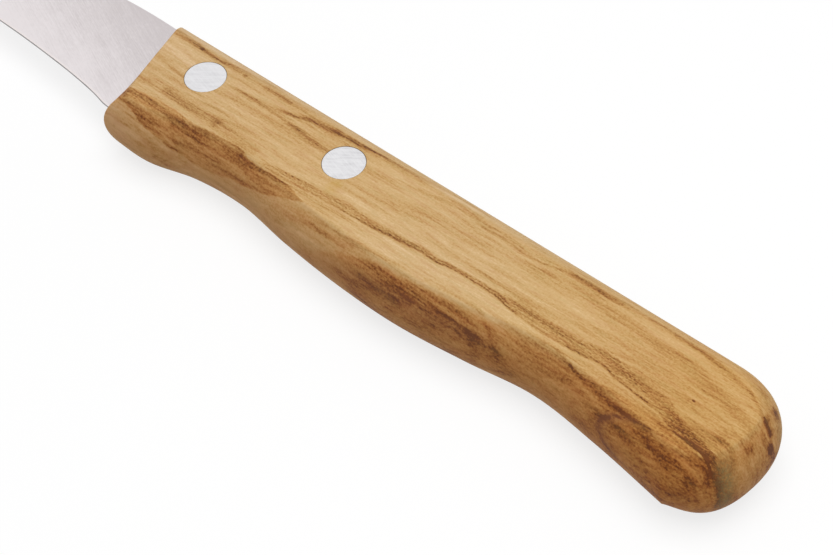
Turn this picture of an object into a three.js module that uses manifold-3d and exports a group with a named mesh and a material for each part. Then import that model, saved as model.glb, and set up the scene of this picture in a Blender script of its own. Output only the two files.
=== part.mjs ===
// Small paring knife with a one-piece wooden handle, two flush rivets and a curved peeling blade.
// It lies on the flat of its handle. Lengths are in millimetres. X runs from the blade's tip to the
// butt, Y from the cutting edge to the spine, and Z up through the thickness. While the pieces are
// made, X and Y are counted from the front rivet's axis and Z from the lower flat.

import * as THREE from 'three';
import { mergeVertices } from 'three/addons/utils/BufferGeometryUtils.js';
import Module from 'manifold-3d';

const wasm = await Module();
wasm.setup();

// Handle, overall
const handleLength = 99.4;
const handleThickness = 10.7;
const crownHeight = 7;

// Handle, how far the rim swells out at the middle of the thickness
const spineArch = 3.4;
const frontArch = 1.2;
const noseArch = 4.3;
const noseArchPower = 3;
const bellyArch = 2.45;
const buttArch = 2.3;

// Handle, front face and nose
const frontReach = 11.7;
const noseReach = 8.9;
const frontHollow = 0.8;
const noseDepth = 11.06;
const noseRounding = 0.15;
const noseRimRounding = 0.12;

// Handle, belly: shares of the handle's length behind its front, and of the palm swell's depth
const palmDepth = 10.84;
const bellyShares = [
  [0.023, 1.003], [0.094, 1.013], [0.166, 0.853], [0.247, 0.805], [0.339, 0.917], [0.435, 0.991],
  [0.532, 1], [0.629, 0.91], [0.725, 0.794], [0.822, 0.877], [0.931, 1.036],
];

// Handle, butt: the belly runs into it at a corner, which stands further back on the flats
const buttDepth = 1.85;
const buttRun = 9;
const buttLeanShare = 0.037;
const cornerSetback = 1.3;
const cornerSlopeShare = 0.457;
const buttPullShares = { corner: 0.3, lower: 0.934, upper: 0.62, spine: 0.626 };

// Rivets: two flush halves each, a post pressed into a socket
const rivetSpacing = 24.3;
const headRadius = 2.75;
const headThickness = 1.6;
const postRadius = 1.6;
const socketWall = 0.5;
const postClearance = 0.05;
const headClearance = 0.06;
const shankClearance = 0.1;
const endClearance = 0.3;

// Blade
const bladeLength = 65;
const spineThickness = 1.4;
const tipThickness = 0.8;
const bevelWidth = 0.35;
const bevelTipShare = 0.45;
const bevelThickness = 0.3;
const edgeThickness = 0.06;
const heelDepth = 8.5;
const edgeHollow = 2.6;
const tipDepth = 9.35;
const tipHeight = 0.25;
const bladeClearance = 0.15;

// Blade, spine: shares of the blade's length ahead of the handle, and of the fall to the tip
const bladeSpineShares = [
  [0, 0], [0.05, -0.007], [0.1, -0.01], [0.17, -0.004], [0.3, 0.035], [0.45, 0.09], [0.6, 0.161],
  [0.75, 0.286], [0.88, 0.522], [1, 1],
];

// Blade, cutting edge: shares of the run from the nose to the tip, and of how deeply the edge is
// hollowed above the straight line from the heel to the tip
const bladeEdgeShares = [
  [0, 0], [0.037, 0.012], [0.07, 0.196], [0.104, 0.348], [0.153, 0.511], [0.2, 0.631],
  [0.31, 0.843], [0.375, 0.92], [0.46, 1], [0.63, 0.942], [0.77, 0.722], [0.91, 0.337], [1, 0],
];

// Tang
const tangFrontDepth = 5.5;
const tangRearDepth = 3.6;
const tangPastRivet = 9.5;
const tangRounding = 2.5;
const tangClearance = 0.1;

// Cutting tools run past what they cut by this much, and slopes are read over the shorter step
const overrun = 3;
const slopeStep = 0.05;
const weldTolerance = 0.0001;

// How finely curves are divided
const rimLevels = 8;
const frontDivisions = 5;
const noseDivisions = 5;
const bellyDivisions = 34;
const buttDivisions = 9;
const spineDivisions = 10;
const bladeDivisions = 26;
const roundDivisions = 40;
const cornerDivisions = 6;

// Sizes that follow from those above
const midHeight = handleThickness / 2;
const frontX = -frontReach;
const buttX = handleLength - frontReach;
const tipX = -frontReach - bladeLength;
const shankRadius = postRadius + postClearance + socketWall;

// A smooth curve y(x) through points; past its first point it goes on straight
function curveThrough(points) {
  const interpolant = new THREE.CubicInterpolant(
    points.map((p) => p.x), points.map((p) => p.y), 1, new Float64Array(1));
  const [first, second] = points;
  const lead = (second.y - first.y) / (second.x - first.x);
  return (x) => (x < first.x ? first.y + lead * (x - first.x) : interpolant.evaluate(x)[0]);
}

function slopeOf(curve, x) {
  return (curve(x + slopeStep) - curve(x - slopeStep)) / (2 * slopeStep);
}

// The crossing of the line through a along u with the line through b along v
function crossing(a, u, b, v) {
  const along = b.clone().sub(a).cross(v) / u.cross(v);
  return a.clone().addScaledVector(u, along);
}

// The outward normal of an outline that runs anticlockwise
function outwardNormal(tangent) {
  return new THREE.Vector2(tangent.y, -tangent.x).normalize();
}

// How far an arched rim lies inside its widest outline at a height above the lower flat
function rimInset(bulge, height) {
  const radius = (midHeight ** 2 + bulge ** 2) / (2 * bulge);
  return radius - Math.sqrt(Math.max(radius ** 2 - (height - midHeight) ** 2, 0));
}

// The front face seen from above, at the middle of the thickness
function frontFace(y) {
  const share = (crownHeight - y) / (crownHeight + noseDepth);
  return frontX + (frontReach - noseReach) * share + 4 * frontHollow * share * (1 - share);
}

// How far the front rim swells out at a place down the front: most at the rounded nose
function frontBulge(y) {
  const share = Math.max((crownHeight - y) / (crownHeight + noseDepth), 0);
  return THREE.MathUtils.lerp(frontArch, noseArch, share ** noseArchPower);
}

const belly = curveThrough(bellyShares.map(([along, depth]) =>
  new THREE.Vector2(frontX + along * handleLength, -depth * palmDepth)));

const bladeSpine = curveThrough(bladeSpineShares.map(([along, fall]) => new THREE.Vector2(
  frontX - along * bladeLength,
  THREE.MathUtils.lerp(crownHeight, tipHeight - tipDepth, fall))).reverse());

const bladeEdge = curveThrough(bladeEdgeShares.map(([along, hollow]) => new THREE.Vector2(
  THREE.MathUtils.lerp(-noseReach, tipX, along),
  hollow * edgeHollow - THREE.MathUtils.lerp(heelDepth, tipDepth, along))).reverse());

// The handle's outline at one height: down the front, round the nose, along the belly, round the
// butt and back along the spine
function handleOutline(height) {
  const bellyInset = rimInset(bellyArch, height);
  const topY = crownHeight - rimInset(spineArch, height);
  const front = (y) => (
    frontFace(y) + rimInset(frontBulge(y), height) * Math.hypot(1, slopeOf(frontFace, y)));
  const rounding = noseRounding * (1 - rimInset(noseArch, height) / noseArch) + noseRimRounding;

  const bellyPoint = (x) => {
    const inward = outwardNormal(new THREE.Vector2(1, slopeOf(belly, x))).multiplyScalar(-bellyInset);
    return new THREE.Vector2(x, belly(x)).add(inward);
  };
  const bellyStart = front(-noseDepth) + rounding;
  const setback = cornerSetback * bellyInset / bellyArch;
  const bellyEnd = frontX + bellyShares.at(-1)[0] * handleLength - slopeStep - setback;
  const noseEnd = bellyPoint(bellyStart);
  const noseTop = noseEnd.y + rounding;
  const noseStart = new THREE.Vector2(front(noseTop), noseTop);
  const noseCorner = crossing(noseStart, new THREE.Vector2(slopeOf(front, noseTop), 1),
    noseEnd, new THREE.Vector2(1, slopeOf(belly, bellyStart)));

  const points = [];
  for (let i = 0; i < frontDivisions; i += 1) {
    const y = THREE.MathUtils.lerp(topY, noseTop, i / frontDivisions);
    points.push(new THREE.Vector2(front(y), y));
  }
  const nose = new THREE.QuadraticBezierCurve(noseStart, noseCorner, noseEnd);
  points.push(...nose.getPoints(noseDivisions));
  for (let i = 1; i <= bellyDivisions; i += 1) {
    points.push(bellyPoint(THREE.MathUtils.lerp(bellyStart, bellyEnd, i / bellyDivisions)));
  }

  const corner = bellyPoint(bellyEnd);
  const cornerAhead = new THREE.Vector2(1, cornerSlopeShare);
  const buttMiddle = new THREE.Vector2(buttX - rimInset(buttArch, height), -buttDepth);
  const buttTop = new THREE.Vector2(buttX - buttRun, topY);
  const lean = new THREE.Vector2(buttLeanShare, 1);
  const lower = new THREE.CubicBezierCurve(
    corner,
    corner.clone().addScaledVector(cornerAhead, buttPullShares.corner * (buttMiddle.x - corner.x)),
    buttMiddle.clone().addScaledVector(lean, buttPullShares.lower * (corner.y - buttMiddle.y)),
    buttMiddle);
  const upper = new THREE.CubicBezierCurve(
    buttMiddle,
    buttMiddle.clone().addScaledVector(lean, buttPullShares.upper * (buttTop.y - buttMiddle.y)),
    buttTop.clone().lerp(new THREE.Vector2(buttMiddle.x, buttTop.y), buttPullShares.spine),
    buttTop);
  for (const curve of [lower, upper]) {
    points.push(...curve.getPoints(buttDivisions).slice(1));
  }

  const spineFrom = points.at(-1).x;
  for (let i = 1; i < spineDivisions; i += 1) {
    const x = THREE.MathUtils.lerp(spineFrom, points[0].x, i / spineDivisions);
    points.push(new THREE.Vector2(x, topY));
  }
  return points;
}

// A closed body through rings of equally many points. flatten gives the plane of the end caps.
function ringBody(rings, flatten) {
  const count = rings[0].length;
  const positions = rings.flat().flatMap((p) => [p.x, p.y, p.z]);
  const faces = [];
  for (let r = 0; r + 1 < rings.length; r += 1) {
    for (let i = 0; i < count; i += 1) {
      const a = r * count + i;
      const b = r * count + (i + 1) % count;
      faces.push(a, b, b + count, a, b + count, a + count);
    }
  }
  const last = (rings.length - 1) * count;
  for (const [a, b, c] of THREE.ShapeUtils.triangulateShape(rings[0].map(flatten), [])) {
    faces.push(a, c, b);
  }
  for (const [a, b, c] of THREE.ShapeUtils.triangulateShape(rings.at(-1).map(flatten), [])) {
    faces.push(last + a, last + b, last + c);
  }
  const geometry = new THREE.BufferGeometry();
  geometry.setAttribute('position', new THREE.Float32BufferAttribute(positions, 3));
  geometry.setIndex(faces);
  return geometry;
}

// Geometry to a solid that can be cut and joined, and back
function toSolid(geometry) {
  const bare = geometry.clone();
  bare.deleteAttribute('normal');
  bare.deleteAttribute('uv');
  const welded = mergeVertices(bare, weldTolerance);
  return new wasm.Manifold(new wasm.Mesh({
    numProp: 3,
    vertProperties: welded.attributes.position.array,
    triVerts: new Uint32Array(welded.index.array),
  }));
}

function toGeometry(solid) {
  const mesh = solid.getMesh();
  const geometry = new THREE.BufferGeometry();
  geometry.setAttribute('position', new THREE.BufferAttribute(mesh.vertProperties, 3));
  geometry.setIndex(new THREE.BufferAttribute(mesh.triVerts, 1));
  geometry.computeVertexNormals();
  return geometry;
}

// A round cutter about a vertical axis, between two heights
function roundCutter(radius, x, low, high) {
  const cylinder = new THREE.CylinderGeometry(radius, radius, high - low, roundDivisions);
  return toSolid(cylinder.rotateX(Math.PI / 2).translate(x, 0, (low + high) / 2));
}

// A plate with a given outline about the middle of the thickness
function midPlate(shape, thickness) {
  const plate = new THREE.ExtrudeGeometry(shape, { depth: thickness, bevelEnabled: false });
  return toSolid(plate.translate(0, 0, midHeight - thickness / 2));
}

const rivetPlaces = { front: 0, rear: rivetSpacing };

// Points down the handle's front face at the middle of the thickness, set ahead of it by a gap
function frontPoints(fromY, toY, gap) {
  const points = [];
  for (let i = 0; i <= frontDivisions; i += 1) {
    const y = THREE.MathUtils.lerp(fromY, toY, i / frontDivisions);
    points.push(new THREE.Vector2(frontFace(y) - gap, y));
  }
  return points;
}

// The outline of the tang, or of the slot round it, from the points at its front, top to bottom
function tangShape(front, clearance) {
  const endX = rivetSpacing + tangPastRivet + clearance;
  const rearY = -tangRearDepth - clearance;
  const rounding = new THREE.QuadraticBezierCurve(
    new THREE.Vector2(endX - tangRounding, rearY),
    new THREE.Vector2(endX, rearY),
    new THREE.Vector2(endX, rearY + tangRounding));
  return new THREE.Shape([
    ...front,
    ...rounding.getPoints(cornerDivisions),
    new THREE.Vector2(endX, front[0].y),
  ]);
}

// The handle: its body, less the tang's slot and the rivets' stepped holes
function makeHandle() {
  const rings = [];
  for (let k = 0; k <= rimLevels; k += 1) {
    const height = midHeight * (1 - Math.cos(Math.PI * k / rimLevels));
    rings.push(handleOutline(height).map((p) => new THREE.Vector3(p.x, p.y, height)));
  }
  let body = toSolid(ringBody(rings, (p) => new THREE.Vector2(p.x, p.y)));
  const slotFloor = -tangFrontDepth - tangClearance;
  const slot = tangShape([
    new THREE.Vector2(frontX - overrun, crownHeight + overrun),
    new THREE.Vector2(frontX - overrun, slotFloor),
    new THREE.Vector2(frontFace(slotFloor), slotFloor),
  ], tangClearance);
  body = body.subtract(midPlate(slot, spineThickness + 2 * tangClearance));
  const below = -overrun;
  const above = handleThickness + overrun;
  const recess = headThickness + headClearance;
  for (const x of Object.values(rivetPlaces)) {
    body = body
      .subtract(roundCutter(headRadius + headClearance, x, below, recess))
      .subtract(roundCutter(headRadius + headClearance, x, handleThickness - recess, above))
      .subtract(roundCutter(shankRadius + shankClearance, x, below, above));
  }
  return toGeometry(body);
}

// One cross-section of the blade: a wedge from the spine to the bevel, then the bevel to the edge.
// At the tip the bevel takes no more than its share of the blade's height.
function bladeSection(share) {
  const rootX = frontX + overrun;
  const top = new THREE.Vector2(THREE.MathUtils.lerp(tipX, rootX, share), 0);
  const foot = new THREE.Vector2(THREE.MathUtils.lerp(tipX, -noseReach + overrun, share), 0);
  top.y = top.x > frontX ? crownHeight : bladeSpine(top.x);
  foot.y = foot.x > -noseReach ? -heelDepth : bladeEdge(foot.x);
  const height = top.distanceTo(foot);
  const spine = THREE.MathUtils.lerp(tipThickness, spineThickness, share);
  const shoulder = foot.clone().lerp(top, Math.min(bevelWidth / height, bevelTipShare));
  const at = (p, offset) => new THREE.Vector3(p.x, p.y, midHeight + offset);
  return [
    at(top, spine / 2), at(shoulder, bevelThickness / 2), at(foot, edgeThickness / 2),
    at(foot, -edgeThickness / 2), at(shoulder, -bevelThickness / 2), at(top, -spine / 2),
  ];
}

// The blade with its tang, less the stretch below the tang that would enter the nose, and the
// rivets' holes
function makeBlade() {
  const sections = [];
  for (let i = 0; i <= bladeDivisions; i += 1) {
    sections.push(bladeSection(Math.sin(Math.PI / 2 * i / bladeDivisions)));
  }
  const wedge = toSolid(ringBody(sections, (p) => new THREE.Vector2(p.y, p.z)));
  const behind = new THREE.Shape([
    ...frontPoints(-tangFrontDepth, -noseDepth, bladeClearance),
    new THREE.Vector2(rivetSpacing, -noseDepth),
    new THREE.Vector2(rivetSpacing, -tangFrontDepth),
  ]);
  const tang = tangShape(frontPoints(crownHeight, -tangFrontDepth, 0), 0);
  let blade = wedge
    .subtract(midPlate(behind, handleThickness))
    .add(midPlate(tang, spineThickness));
  for (const x of Object.values(rivetPlaces)) {
    blade = blade.subtract(roundCutter(shankRadius + shankClearance, x, 0, handleThickness));
  }
  return toGeometry(blade);
}

// A turned body about the vertical axis, from a profile of [radius, height] that starts and ends
// on the axis
function turned(profile) {
  const points = profile.map(([radius, height]) => new THREE.Vector2(radius, height));
  return new THREE.LatheGeometry(points, roundDivisions).rotateX(Math.PI / 2);
}

// Both rivet halves stand on their head's outer face
function rivetPost() {
  const end = handleThickness - headThickness - endClearance;
  return turned([[0, 0], [headRadius, 0], [headRadius, headThickness], [postRadius, headThickness],
    [postRadius, end], [0, end]]);
}

function rivetSocket() {
  const bore = postRadius + postClearance;
  const end = handleThickness - headThickness - endClearance;
  return turned([[0, 0], [headRadius, 0], [headRadius, headThickness], [shankRadius, headThickness],
    [shankRadius, end], [bore, end], [bore, headThickness], [0, headThickness]]);
}

const wood = { color: 0xc99a5e, roughness: 0.55, metalness: 0 };
const steel = { color: 0xd2cfcf, roughness: 0.35, metalness: 0.9 };
const aluminium = { color: 0xdadbdd, roughness: 0.4, metalness: 0.9 };

const group = new THREE.Group();

function addPiece(name, geometry, finish) {
  const piece = new THREE.Mesh(geometry, new THREE.MeshStandardMaterial(finish));
  piece.name = name;
  group.add(piece);
  return piece;
}

addPiece('handle', makeHandle(), wood);
addPiece('blade', makeBlade(), steel);
for (const [place, x] of Object.entries(rivetPlaces)) {
  addPiece(`${place}_rivet_post`, rivetPost(), aluminium).position.set(x, 0, 0);
  const socket = addPiece(`${place}_rivet_socket`, rivetSocket(), aluminium);
  socket.rotation.x = Math.PI;
  socket.position.set(x, 0, handleThickness);
}

// The origin is the middle of the whole knife's outline, on the surface that it lies on
const bounds = new THREE.Box3().setFromObject(group);
const middle = bounds.getCenter(new THREE.Vector3());
group.position.set(-middle.x, -middle.y, -bounds.min.z);

export default group;
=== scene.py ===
import functools
import math

import bpy
import numpy as np
from mathutils import Matrix, Vector


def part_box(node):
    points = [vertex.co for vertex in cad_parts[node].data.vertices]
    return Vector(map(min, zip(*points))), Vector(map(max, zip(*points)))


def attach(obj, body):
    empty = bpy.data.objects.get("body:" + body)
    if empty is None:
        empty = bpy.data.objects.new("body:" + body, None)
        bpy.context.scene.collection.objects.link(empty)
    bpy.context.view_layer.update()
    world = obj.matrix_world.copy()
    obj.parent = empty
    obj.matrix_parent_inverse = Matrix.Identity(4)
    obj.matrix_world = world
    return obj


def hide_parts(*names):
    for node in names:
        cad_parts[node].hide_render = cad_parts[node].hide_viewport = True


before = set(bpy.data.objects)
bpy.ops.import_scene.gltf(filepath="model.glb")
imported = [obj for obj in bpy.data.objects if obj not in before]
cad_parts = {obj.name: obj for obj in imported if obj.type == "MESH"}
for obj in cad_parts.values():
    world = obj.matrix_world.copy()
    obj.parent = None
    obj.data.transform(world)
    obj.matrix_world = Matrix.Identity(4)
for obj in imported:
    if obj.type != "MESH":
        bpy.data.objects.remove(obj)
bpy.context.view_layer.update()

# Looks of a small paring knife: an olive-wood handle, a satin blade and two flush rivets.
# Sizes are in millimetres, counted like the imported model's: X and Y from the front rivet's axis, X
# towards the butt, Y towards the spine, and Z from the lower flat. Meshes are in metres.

MM = 0.001

# The front rivet's axis, where it meets the lower flat, and the handle's thickness
post_low, post_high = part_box("front_rivet_post")
handle_low, handle_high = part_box("handle")
ORIGIN = Vector(((post_low.x + post_high.x) / 2, (post_low.y + post_high.y) / 2, handle_low.z))
THICKNESS = (handle_high.z - handle_low.z) / MM
MIDDLE = THICKNESS / 2

# Handle
HANDLE_LENGTH = 99.4
CROWN_HEIGHT = 7
SPINE_ARCH = 3.4
FRONT_ARCH = 1.2
NOSE_ARCH = 4.3
NOSE_ARCH_POWER = 3
BELLY_ARCH = 2.45
BUTT_ARCH = 2.3
FRONT_REACH = 11.7
NOSE_REACH = 8.9
FRONT_HOLLOW = 0.8
NOSE_DEPTH = 11.06
NOSE_ROUNDING = 0.15
NOSE_RIM_ROUNDING = 0.12
PALM_DEPTH = 10.84
BELLY_SHARES = [
    (0.023, 1.003), (0.094, 1.013), (0.166, 0.853), (0.247, 0.805), (0.339, 0.917), (0.435, 0.991),
    (0.532, 1), (0.629, 0.91), (0.725, 0.794), (0.822, 0.877), (0.931, 1.036),
]
BUTT_DEPTH = 1.85
BUTT_RUN = 9
BUTT_LEAN_SHARE = 0.037
CORNER_SETBACK = 1.3
CORNER_SLOPE_SHARE = 0.457
BUTT_PULL_SHARES = {"corner": 0.3, "lower": 0.934, "upper": 0.62, "spine": 0.626}
EDGE_DROP = 0.14
EDGE_WIDTH = 0.16

# Rivets
rear_low, rear_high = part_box("rear_rivet_post")
RIVET_SPACING = ((rear_low.x + rear_high.x) / 2 - ORIGIN.x) / MM
HEAD_RADIUS = (post_high.x - post_low.x) / 2 / MM
HEAD_THICKNESS = 1.6
HEAD_ROUNDING = 0.1
POST_RADIUS = 1.6
SOCKET_WALL = 0.5
POST_CLEARANCE = 0.05
HEAD_CLEARANCE = 0.04
SHANK_CLEARANCE = 0.1
END_CLEARANCE = 0.3
SHANK_RADIUS = POST_RADIUS + POST_CLEARANCE + SOCKET_WALL
HOLE_RADIUS = SHANK_RADIUS + SHANK_CLEARANCE

# Blade and tang
TIP_X = (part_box("blade")[0].x - ORIGIN.x) / MM
SPINE_THICKNESS = 1.4
TIP_THICKNESS = 0.8
SPINE_ROUNDING = 0.18
BEVEL_WIDTH = 0.35
BEVEL_TIP_SHARE = 0.45
BEVEL_THICKNESS = 0.3
HONE_WIDTH = 0.13
HONE_THICKNESS = 0.13
EDGE_THICKNESS = 0.06
HEEL_DEPTH = 8.5
EDGE_HOLLOW = 2.6
TIP_DEPTH = 9.35
TIP_HEIGHT = 0.25
BLADE_CLEARANCE = 0.15
BLADE_SPINE_SHARES = [
    (0, 0), (0.05, -0.007), (0.1, -0.01), (0.17, -0.004), (0.3, 0.035), (0.45, 0.09), (0.6, 0.161),
    (0.75, 0.286), (0.88, 0.522), (1, 1),
]
BLADE_EDGE_SHARES = [
    (0, 0), (0.037, 0.012), (0.07, 0.196), (0.104, 0.348), (0.153, 0.511), (0.2, 0.631), (0.31, 0.843),
    (0.375, 0.92), (0.46, 1), (0.63, 0.942), (0.77, 0.722), (0.91, 0.337), (1, 0),
]
TANG_FRONT_DEPTH = 5.5
TANG_REAR_DEPTH = 3.6
TANG_PAST_RIVET = 9.5
TANG_ROUNDING = 2.5
TANG_CLEARANCE = 0.1
# A face of the blade belongs to the bevel, or to the honed line, where all of it lies nearer
# than this to the blade's middle plane
BEVEL_REACH = 0.18
HONE_REACH = 0.075

# Cutters run past what they cut by this much, and slopes are read over the shorter step
OVERRUN = 3
SLOPE_STEP = 0.05

# How finely curves are divided
RIM_LEVELS = 26
EDGE_LEVELS = 6
FRONT_STEPS = 24
NOSE_STEPS = 12
BELLY_STEPS = 220
BUTT_STEPS = 46
SPINE_STEPS = 60
BLADE_STEPS = 140
ROUND_STEPS = 96
CORNER_STEPS = 12
EASE_POINTS = 4
HEAD_POINTS = 6

# Edges sharper than this stay sharp in the shading
SHARP_DEGREES = 35
BLADE_SHARP_DEGREES = 12

FRONT_X = -FRONT_REACH
BUTT_X = HANDLE_LENGTH - FRONT_REACH


def curve_through(points):
    """A smooth curve y(x) through points; past its first point it goes on straight."""
    xs, ys = np.array(sorted(points), float).T
    secants = np.diff(ys) / np.diff(xs)
    slopes = np.r_[secants[0], (secants[:-1] + secants[1:]) / 2, secants[-1]]

    def curve(x):
        i = np.clip(np.searchsorted(xs, x) - 1, 0, len(xs) - 2)
        run = xs[i + 1] - xs[i]
        s = (x - xs[i]) / run
        y = ((2 * s**3 - 3 * s**2 + 1) * ys[i] + (s**3 - 2 * s**2 + s) * run * slopes[i]
             + (3 * s**2 - 2 * s**3) * ys[i + 1] + (s**3 - s**2) * run * slopes[i + 1])
        return np.where(x < xs[0], ys[0] + slopes[0] * (x - xs[0]), y)

    return curve


def slope_of(curve, x):
    return (curve(x + SLOPE_STEP) - curve(x - SLOPE_STEP)) / (2 * SLOPE_STEP)


def bezier(points, steps):
    """Points along a quadratic or cubic curve."""
    s = np.linspace(0, 1, steps + 1)[:, None]
    levels = [np.array([p], float) for p in points]
    while len(levels) > 1:
        levels = [a * (1 - s) + b * s for a, b in zip(levels, levels[1:])]
    return levels[0]


def outward(tangents):
    """The outward normals of an outline that runs anticlockwise."""
    return np.column_stack((tangents[:, 1], -tangents[:, 0]))


def crossing(a, u, b, v):
    """The crossing of the line through a along u with the line through b along v."""
    return a + u * ((b[0] - a[0]) * v[1] - (b[1] - a[1]) * v[0]) / (u[0] * v[1] - u[1] * v[0])


def rim_inset(bulge, height):
    """How far an arched rim lies inside its widest outline at a height above the lower flat."""
    radius = (MIDDLE**2 + bulge**2) / (2 * bulge)
    return radius - np.sqrt(np.maximum(radius**2 - (height - MIDDLE) ** 2, 0))


def front_face(y):
    """The front face seen from above, at the middle of the thickness."""
    share = (CROWN_HEIGHT - y) / (CROWN_HEIGHT + NOSE_DEPTH)
    return FRONT_X + (FRONT_REACH - NOSE_REACH) * share + 4 * FRONT_HOLLOW * share * (1 - share)


def front_bulge(y):
    """How far the front rim swells out at a place down the front: most at the rounded nose."""
    share = np.maximum((CROWN_HEIGHT - y) / (CROWN_HEIGHT + NOSE_DEPTH), 0)
    return FRONT_ARCH + (NOSE_ARCH - FRONT_ARCH) * share**NOSE_ARCH_POWER


belly = curve_through([
    (FRONT_X + along * HANDLE_LENGTH, -depth * PALM_DEPTH) for along, depth in BELLY_SHARES])
blade_spine = curve_through([
    (FRONT_X + along * (TIP_X - FRONT_X), CROWN_HEIGHT + fall * (TIP_HEIGHT - TIP_DEPTH - CROWN_HEIGHT))
    for along, fall in BLADE_SPINE_SHARES])
blade_edge = curve_through([
    (-NOSE_REACH + along * (TIP_X + NOSE_REACH),
     hollow * EDGE_HOLLOW - HEEL_DEPTH - along * (TIP_DEPTH - HEEL_DEPTH))
    for along, hollow in BLADE_EDGE_SHARES])


def handle_outline(height, eased):
    """The handle's outline at one height, drawn in further by what its edge is eased."""
    rounding = NOSE_ROUNDING * (1 - rim_inset(NOSE_ARCH, height) / NOSE_ARCH) + NOSE_RIM_ROUNDING
    setback = CORNER_SETBACK * rim_inset(BELLY_ARCH, height) / BELLY_ARCH
    belly_inset = rim_inset(BELLY_ARCH, height) + eased
    top_y = CROWN_HEIGHT - rim_inset(SPINE_ARCH, height) - eased

    def front(y):
        inset = rim_inset(front_bulge(y), height) + eased
        return front_face(y) + inset * np.hypot(1, slope_of(front_face, y))

    def belly_points(x):
        tangents = np.column_stack((np.ones_like(x), slope_of(belly, x)))
        tangents /= np.linalg.norm(tangents, axis=1)[:, None]
        return np.column_stack((x, belly(x))) - outward(tangents) * belly_inset

    belly_start = front(-NOSE_DEPTH) + rounding
    belly_end = FRONT_X + BELLY_SHARES[-1][0] * HANDLE_LENGTH - SLOPE_STEP - setback
    nose_end = belly_points(np.array([belly_start]))[0]
    nose_top = nose_end[1] + rounding
    nose_start = np.array([front(nose_top), nose_top])
    nose_corner = crossing(
        nose_start, np.array([slope_of(front, nose_top), 1]),
        nose_end, np.array([1, slope_of(belly, belly_start)]))

    front_y = np.linspace(top_y, nose_top, FRONT_STEPS, endpoint=False)
    nose = bezier([nose_start, nose_corner, nose_end], NOSE_STEPS)
    belly_line = belly_points(np.linspace(belly_start, belly_end, BELLY_STEPS + 1)[1:])

    corner = belly_line[-1]
    butt_middle = np.array([BUTT_X - rim_inset(BUTT_ARCH, height) - eased, -BUTT_DEPTH])
    butt_top = np.array([BUTT_X - BUTT_RUN, top_y])
    lean = np.array([BUTT_LEAN_SHARE, 1])
    reach = butt_middle - corner
    lower = bezier([
        corner,
        corner + np.array([1, CORNER_SLOPE_SHARE]) * BUTT_PULL_SHARES["corner"] * reach[0],
        butt_middle - lean * BUTT_PULL_SHARES["lower"] * reach[1],
        butt_middle,
    ], BUTT_STEPS)
    upper = bezier([
        butt_middle,
        butt_middle + lean * BUTT_PULL_SHARES["upper"] * (top_y - butt_middle[1]),
        butt_top + np.array([BUTT_PULL_SHARES["spine"] * (butt_middle[0] - butt_top[0]), 0]),
        butt_top,
    ], BUTT_STEPS)

    front_line = np.column_stack((front(front_y), front_y))
    spine_x = np.linspace(butt_top[0], front_line[0, 0], SPINE_STEPS, endpoint=False)[1:]
    spine = np.column_stack((spine_x, np.full_like(spine_x, top_y)))
    return np.vstack((front_line, nose, belly_line, lower[1:], upper[1:], spine))


def add_object(name, data):
    """A new object in the scene, from a mesh, a camera or a lamp."""
    added = bpy.data.objects.new(name, data)
    bpy.context.scene.collection.objects.link(added)
    return added


def new_piece(name, points, faces):
    """A mesh object from points in the part's millimetres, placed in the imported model's frame."""
    mesh = bpy.data.meshes.new(name)
    mesh.from_pydata([ORIGIN + Vector(p) * MM for p in points], [], faces)
    return add_object(name, mesh)


def ring_object(name, rings):
    """A closed body through rings of equally many points, with flat ends."""
    count = len(rings[0])
    points = np.vstack(rings)
    faces = []
    for r in range(len(rings) - 1):
        for i in range(count):
            a, b = r * count + i, r * count + (i + 1) % count
            faces.append((a, b, b + count, a + count))
    last = (len(rings) - 1) * count
    faces.append(tuple(reversed(range(count))))
    faces.append(tuple(range(last, last + count)))
    return new_piece(name, points, faces)


def at_height(outline, height):
    return np.column_stack((outline, np.full(len(outline), height)))


def plate(name, outline, low, high):
    """A plate with a given outline between two heights."""
    return ring_object(name, [at_height(outline, low), at_height(outline, high)])


def round_plate(name, radius, x, low, high):
    turn = np.linspace(0, 2 * math.pi, ROUND_STEPS, endpoint=False)
    return plate(name, np.column_stack((x + radius * np.cos(turn), radius * np.sin(turn))), low, high)


def combine(piece, *steps):
    """Joins or cuts solids one after the other and keeps the result as the piece's own mesh."""
    for operation, other in steps:
        modifier = piece.modifiers.new(operation, "BOOLEAN")
        modifier.operation = operation
        modifier.solver = "EXACT"
        modifier.object = other
    evaluated = piece.evaluated_get(bpy.context.evaluated_depsgraph_get())
    result = bpy.data.meshes.new_from_object(evaluated)
    piece.modifiers.clear()
    piece.data = result
    for _, other in steps:
        bpy.data.objects.remove(other)
    return piece


def smooth(piece, sharp_degrees=SHARP_DEGREES):
    """Smooth shading that keeps the edges sharper than an angle."""
    mesh = piece.data
    mesh.polygons.foreach_set("use_smooth", [True] * len(mesh.polygons))
    mesh.set_sharp_from_angle(angle=math.radians(sharp_degrees))
    return piece


def tang_outline(front, clearance):
    """The outline of the tang, or of the slot round it, from the points at its front, top to bottom."""
    end_x = RIVET_SPACING + TANG_PAST_RIVET + clearance
    rear_y = -TANG_REAR_DEPTH - clearance
    rounding = bezier([
        (end_x - TANG_ROUNDING, rear_y), (end_x, rear_y), (end_x, rear_y + TANG_ROUNDING),
    ], CORNER_STEPS)
    return np.vstack((front, rounding, [(end_x, front[0][1])]))


def front_points(from_y, to_y, gap):
    y = np.linspace(from_y, to_y, FRONT_STEPS + 1)
    return np.column_stack((front_face(y) - gap, y))


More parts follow.
